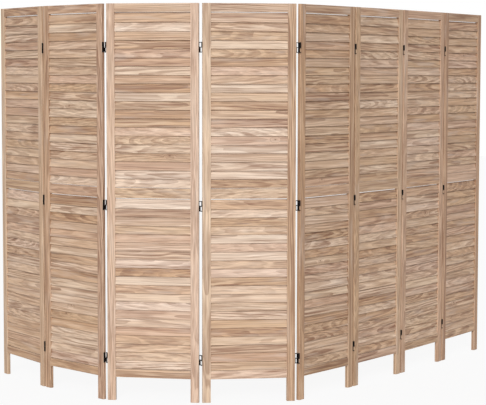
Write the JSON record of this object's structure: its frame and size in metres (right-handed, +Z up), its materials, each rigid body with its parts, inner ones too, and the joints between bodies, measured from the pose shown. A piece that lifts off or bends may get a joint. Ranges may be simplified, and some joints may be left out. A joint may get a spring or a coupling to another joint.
{
  "type": "folding screen",
  "caption": "Free-standing folding screen of tall louvred wooden panels joined by black double-action hinges, standing in a shallow curve on leg ends.",
  "frame": {"origin": "centre of the standing screen's bounding box, on the floor", "axes": "+X along the front panel, to the right seen from the front; +Y to the rear; +Z up"},
  "size_m": [2.3878, 1.22, 1.7],
  "materials": {
    "wood_frame": "light washed wood, matte",
    "wood_slats": "light washed wood with strong grain, matte",
    "hinge_metal": "black, satin"
  },
  "bodies": {
    "panel_1": {"panel_1_stiles": "wood_frame", "panel_1_rails": "wood_frame", "panel_1_louvres": "wood_slats", "panel_1_hinge_leaves": "hinge_metal", "panel_1_hinge_screws": "hinge_metal", "hinge_1_links": "hinge_metal", "hinge_1_pins": "hinge_metal"},
    "panel_2": {"panel_2_stiles": "wood_frame", "panel_2_rails": "wood_frame", "panel_2_louvres": "wood_slats", "panel_2_hinge_leaves": "hinge_metal", "panel_2_hinge_screws": "hinge_metal"},
    "panel_3": {"panel_3_stiles": "wood_frame", "panel_3_rails": "wood_frame", "panel_3_louvres": "wood_slats", "panel_3_hinge_leaves": "hinge_metal", "panel_3_hinge_screws": "hinge_metal", "hinge_2_links": "hinge_metal", "hinge_2_pins": "hinge_metal", "hinge_3_links": "hinge_metal", "hinge_3_pins": "hinge_metal"},
    "panel_4": {"panel_4_stiles": "wood_frame", "panel_4_rails": "wood_frame", "panel_4_louvres": "wood_slats", "panel_4_hinge_leaves": "hinge_metal", "panel_4_hinge_screws": "hinge_metal"},
    "panel_5": {"panel_5_stiles": "wood_frame", "panel_5_rails": "wood_frame", "panel_5_louvres": "wood_slats", "panel_5_hinge_leaves": "hinge_metal", "panel_5_hinge_screws": "hinge_metal", "hinge_5_links": "hinge_metal", "hinge_5_pins": "hinge_metal"},
    "panel_6": {"panel_6_stiles": "wood_frame", "panel_6_rails": "wood_frame", "panel_6_louvres": "wood_slats", "panel_6_hinge_leaves": "hinge_metal", "panel_6_hinge_screws": "hinge_metal"},
    "panel_7": {"panel_7_stiles": "wood_frame", "panel_7_rails": "wood_frame", "panel_7_louvres": "wood_slats", "panel_7_hinge_leaves": "hinge_metal", "panel_7_hinge_screws": "hinge_metal", "hinge_6_links": "hinge_metal", "hinge_6_pins": "hinge_metal", "hinge_7_links": "hinge_metal", "hinge_7_pins": "hinge_metal"},
    "panel_8": {"panel_8_stiles": "wood_frame", "panel_8_rails": "wood_frame", "panel_8_louvres": "wood_slats", "panel_8_hinge_leaves": "hinge_metal", "panel_8_hinge_screws": "hinge_metal"},
    "hinge_4": {"hinge_4_links": "hinge_metal", "hinge_4_pins": "hinge_metal"}
  },
  "joints": [
    {"name": "line_1_front_fold", "type": "hinge", "parent": "panel_2", "child": "panel_1", "pos_m": [-1.0039, -0.16383, 0], "axis": [0, 0, 1], "range_deg": [0, 179.2]},
    {"name": "line_2_rear_fold", "type": "hinge", "parent": "panel_3", "child": "panel_2", "pos_m": [-0.74145, -0.47281, 0], "axis": [0, 0, -1], "range_deg": [-35.7, 130.3]},
    {"name": "line_3_front_fold", "type": "hinge", "parent": "panel_4", "child": "panel_3", "pos_m": [-0.34137, -0.60754, 0], "axis": [0, 0, 1], "range_deg": [0, 179.2]},
    {"name": "line_4_rear_fold", "type": "hinge", "parent": "hinge_4", "child": "panel_4", "pos_m": [0.06363, -0.58954, 0], "axis": [0, 0, -1], "range_deg": [-44.1, 99.4]},
    {"name": "line_4_front_fold", "type": "hinge", "parent": "hinge_4", "child": "panel_5", "pos_m": [0.08046, -0.59829, 0], "axis": [0, 0, 1], "range_deg": [-179.2, 0]},
    {"name": "line_5_front_fold", "type": "hinge", "parent": "panel_5", "child": "panel_6", "pos_m": [0.37592, -0.31165, 0], "axis": [0, 0, -1], "range_deg": [0, 179.2]},
    {"name": "line_6_rear_fold", "type": "hinge", "parent": "panel_6", "child": "panel_7", "pos_m": [0.64325, -0.00687, 0], "axis": [0, 0, 1], "range_deg": [-2.2, 175.8]},
    {"name": "line_7_front_fold", "type": "hinge", "parent": "panel_7", "child": "panel_8", "pos_m": [0.93371, 0.29334, 0], "axis": [0, 0, -1], "range_deg": [0, 179.2]}
  ]
}
